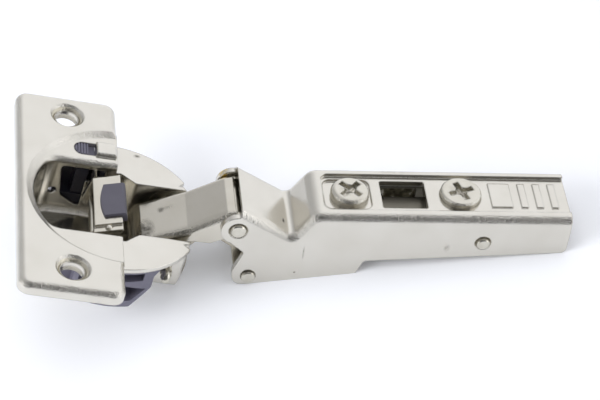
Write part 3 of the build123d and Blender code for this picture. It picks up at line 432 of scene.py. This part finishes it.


# Adjusting screws: cold-headed steel with a pressed cross recess, nickel plated, held in the arm's top.
# Each head is a little darker round the cross.
screw_nickel = pressed_nickel(
    "screw_nickel",
    flat="#D8D5CB",
    cloud="#C2BDB0",
    roughness=0.22,
    edge=0.6,
    marks=[
        ((46.2, -0.8, 2.6), (1.6, 1.6, 1.6), 0.3, "#5A5546"),
        ((69.0, 0.9, 2.1), (1.6, 1.6, 1.6), 0.3, "#5A5546"),
    ],
)
dress(screw_nickel, "side_adjust_screw", "depth_cam_screw")


# Floor: a white laminate table top on which the hinge lies, on the arm's nose and rear end, so that it slopes
# in the hinge's frame. A faint glow, only where it is seen or mirrored, keeps it white.
FLOOR_FRONT = Vector((26.0, 0, -17.3)) * MM
FLOOR_SLOPE = 0.152
FLOOR_REACH = 0.9
FLOOR_GLOW = 0.12
floor_mesh = bpy.data.meshes.new("table_top")
corners = []
for across, along in ((-1, -1), (-1, 1), (1, 1), (1, -1)):
    run = along * FLOOR_REACH
    corners.append(FLOOR_FRONT + Vector((run, across * FLOOR_REACH, run * FLOOR_SLOPE)))
floor_mesh.from_pydata(corners, [], [(3, 2, 1, 0)])
floor = bpy.data.objects.new("table_top", floor_mesh)
bpy.context.scene.collection.objects.link(floor)
white_table = bpy.data.materials.new("white_laminate")
white_table.use_nodes = True
table_tree = white_table.node_tree
table_shader = table_tree.nodes["Principled BSDF"]
table_shader.inputs["Base Color"].default_value = tint("#F3F5FA")
table_shader.inputs["Roughness"].default_value = 0.55
table_ray = add_node(table_tree, "ShaderNodeLightPath").outputs
in_view = add_node(
    table_tree,
    "ShaderNodeMath",
    {0: table_ray["Is Camera Ray"], 1: table_ray["Is Glossy Ray"]},
    operation="MAXIMUM",
)
glow = add_node(table_tree, "ShaderNodeMath", {0: in_view.outputs[0], 1: FLOOR_GLOW}, operation="MULTIPLY")
table_tree.links.new(glow.outputs[0], table_shader.inputs["Emission Strength"])
floor_mesh.materials.append(white_table)


# Studio: a white room with two soft lamps, one overhead and one at the left. Seen in the metal, the room is
# darker at the left and dark in the middle of the front, where the photographer stands, with a bright
# panel on each side of that. Each pair of limits is a part of a direction's length, from start to full.
ROOM_LIGHT = 0.62
MIRRORED_LEVEL = 1.2
LEFT_LIMITS = (0.0, -0.55)
LEFT_DIMMED = -0.6
FRONT_MIDDLE_X = -0.02
DARK_FORWARD = (-0.05, -0.28)
DARK_HEIGHT = (0.995, 0.94)
DARK_HALF_WIDTH = (0.76, 0.66)
DARKENED = -0.88
PANEL_FORWARD = (0.05, -0.2)
PANEL_OFFSET = (0.7, 0.8)
PANEL_LEVEL = 1.0
LAMP_AIM = Vector((0.0, 0, -0.02))
world = bpy.data.worlds.new("white_room")
world.use_nodes = True
bpy.context.scene.world = world
sky = world.node_tree
sky.nodes.clear()
ray = add_node(sky, "ShaderNodeLightPath")
direction = add_node(sky, "ShaderNodeTexCoord").outputs["Generated"]
heading = add_node(sky, "ShaderNodeSeparateXYZ", {0: direction})
from_middle = add_node(
    sky, "ShaderNodeMath", {0: heading.outputs["X"], 1: FRONT_MIDDLE_X}, operation="SUBTRACT"
)
off_middle = add_node(sky, "ShaderNodeMath", {0: from_middle.outputs[0]}, operation="ABSOLUTE")
shares = {}
for word, reading, limits in (
    ("left", heading.outputs["X"], LEFT_LIMITS),
    ("dark forward", heading.outputs["Y"], DARK_FORWARD),
    ("dark height", heading.outputs["Z"], DARK_HEIGHT),
    ("dark width", off_middle.outputs[0], DARK_HALF_WIDTH),
    ("panel forward", heading.outputs["Y"], PANEL_FORWARD),
    ("panel offset", off_middle.outputs[0], PANEL_OFFSET),
):
    share = add_node(
        sky, "ShaderNodeMapRange", {"Value": reading, "From Min": limits[0], "From Max": limits[1]}
    )
    shares[word] = share.outputs["Result"]
in_front = add_node(
    sky, "ShaderNodeMath", {0: shares["dark forward"], 1: shares["dark height"]}, operation="MULTIPLY"
)
dark_side = add_node(
    sky, "ShaderNodeMath", {0: in_front.outputs[0], 1: shares["dark width"]}, operation="MULTIPLY"
)
back = add_node(
    sky, "ShaderNodeMath", {0: shares["left"], 1: LEFT_DIMMED, 2: MIRRORED_LEVEL}, operation="MULTIPLY_ADD"
)
panels = add_node(
    sky, "ShaderNodeMath", {0: shares["panel offset"], 1: shares["panel forward"]}, operation="MULTIPLY"
)
sides = add_node(
    sky,
    "ShaderNodeMath",
    {0: panels.outputs[0], 1: PANEL_LEVEL, 2: back.outputs[0]},
    operation="MULTIPLY_ADD",
)
unlit = add_node(
    sky, "ShaderNodeMath", {0: dark_side.outputs[0], 1: DARKENED, 2: 1.0}, operation="MULTIPLY_ADD"
)
wall = add_node(sky, "ShaderNodeMath", {0: sides.outputs[0], 1: unlit.outputs[0]}, operation="MULTIPLY")
lit = add_node(
    sky, "ShaderNodeMix", {"Factor": ray.outputs["Is Glossy Ray"], "A": ROOM_LIGHT, "B": wall.outputs[0]}
)
seen = add_node(
    sky, "ShaderNodeMix", {"Factor": ray.outputs["Is Camera Ray"], "A": lit.outputs[0], "B": 1.0}
)
room = add_node(sky, "ShaderNodeBackground", {"Color": tint("#FAFBFF"), "Strength": seen.outputs[0]})
add_node(sky, "ShaderNodeOutputWorld", {"Surface": room.outputs["Background"]})
for name, place, size, power in (
    ("overhead_lamp", (0.0, -0.02, 0.8), 0.9, 1.8),
    ("left_lamp", (-0.5, -0.26, 0.24), 0.35, 2.6),
):
    lamp_data = bpy.data.lights.new(name, "AREA")
    lamp_data.energy = power
    lamp_data.size = size
    lamp = bpy.data.objects.new(name, lamp_data)
    lamp.visible_glossy = False
    lamp.location = place
    lamp.rotation_euler = (LAMP_AIM - lamp.location).to_track_quat("-Z", "Y").to_euler()
    bpy.context.scene.collection.objects.link(lamp)


# Camera: a long lens in front of the hinge, looking down at about 42 degrees. Its place and turn are fitted
# to the flange and the arm as the photograph shows them.
lens = bpy.data.cameras.new("camera")
lens.lens = 138.0
lens.sensor_width = 36.0
lens.sensor_fit = "HORIZONTAL"
lens.clip_start = 0.01
camera = bpy.data.objects.new("camera", lens)
camera.location = (-0.031794, -0.340105, 0.311260)
camera.rotation_euler = (radians(47.7295), radians(-6.3559), radians(-5.7109))
bpy.context.scene.collection.objects.link(camera)
bpy.context.scene.camera = camera
bpy.context.scene.view_settings.view_transform = "Standard"
